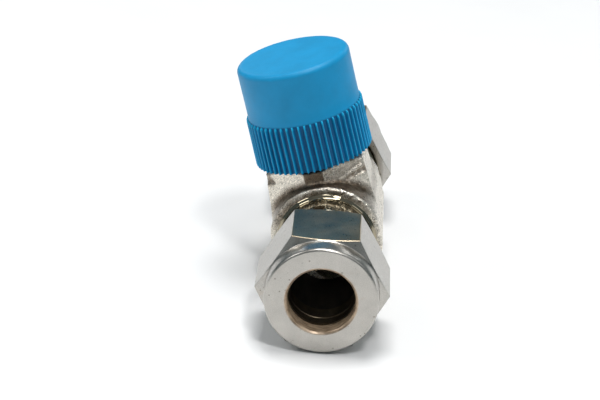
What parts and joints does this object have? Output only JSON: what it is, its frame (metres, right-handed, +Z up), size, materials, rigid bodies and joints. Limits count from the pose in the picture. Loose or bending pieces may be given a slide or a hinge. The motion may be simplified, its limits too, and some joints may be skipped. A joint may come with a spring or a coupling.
{
  "type": "needle valve",
  "caption": "Straight stainless needle valve with half-inch tube fittings, a leaning stem and a blue fluted plastic handle that screws the needle up and down.",
  "frame": {"origin": "centre of the inlet tube port, on the inlet nut's outer face", "axes": "+Y along the flow from inlet to outlet, +Z up as the valve lies on the flats of its nuts, +X to the right seen from the inlet; the stem leans 15.8 degrees towards -X"},
  "size_m": [0.0332, 0.0802, 0.048],
  "materials": {
    "forged_stainless": "fine sand-blasted forging, satin",
    "turned_stainless": "bright turned",
    "nut_stainless": "satin turned and milled",
    "hard_steel": "ground",
    "insert_brass": "turned, knurled",
    "ptfe": "smooth",
    "azure_plastic": "fine-grained moulded"
  },
  "bodies": {
    "valve": {"valve_body": "forged_stainless", "bonnet_gasket": "ptfe", "bonnet": "turned_stainless", "lower_gland": "turned_stainless", "packing_rings": "ptfe", "upper_gland": "turned_stainless", "packing_bolt": "turned_stainless"},
    "needle": {"stem_tip": "hard_steel", "lower_stem": "turned_stainless", "anti_rotation_pin": "hard_steel"},
    "handle": {"upper_stem": "turned_stainless", "stem_retaining_ring": "hard_steel", "thrust_ball": "hard_steel", "handle_insert": "insert_brass", "handle_clip": "hard_steel", "handle": "azure_plastic"},
    "inlet_ferrules": {"inlet_front_ferrule": "turned_stainless", "inlet_back_ferrule": "turned_stainless"},
    "inlet_nut": {"inlet_nut": "nut_stainless"},
    "outlet_ferrules": {"outlet_front_ferrule": "turned_stainless", "outlet_back_ferrule": "turned_stainless"},
    "outlet_nut": {"outlet_nut": "nut_stainless"}
  },
  "joints": [
    {"name": "stem_lift", "type": "slide", "parent": "valve", "child": "needle", "axis": [-0.2723, 0, 0.9622], "range_m": [0, 0.00401]},
    {"name": "handle_turn", "type": "hinge", "parent": "needle", "child": "handle", "pos_m": [0, 0.0401, 0], "axis": [-0.2723, 0, 0.9622], "range_deg": [0, 1440]},
    {"name": "inlet_ferrule_slide", "type": "slide", "parent": "valve", "child": "inlet_ferrules", "axis": [0, -1, 0], "range_m": [0, 0.01017]},
    {"name": "inlet_nut_turn", "type": "hinge", "parent": "inlet_ferrules", "child": "inlet_nut", "pos_m": [0, 0, 0], "axis": [0, -1, 0], "range_deg": [0, 2880]},
    {"name": "outlet_ferrule_slide", "type": "slide", "parent": "valve", "child": "outlet_ferrules", "axis": [0, 1, 0], "range_m": [0, 0.01017]},
    {"name": "outlet_nut_turn", "type": "hinge", "parent": "outlet_ferrules", "child": "outlet_nut", "pos_m": [0, 0.0802, 0], "axis": [0, 1, 0], "range_deg": [0, 2880]}
  ],
  "couplings": [
    {"joint": "stem_lift", "follows": "handle_turn", "m_per_rad": 0.00015915},
    {"joint": "inlet_ferrule_slide", "follows": "inlet_nut_turn", "m_per_rad": 0.00020213},
    {"joint": "outlet_ferrule_slide", "follows": "outlet_nut_turn", "m_per_rad": 0.00020213}
  ]
}
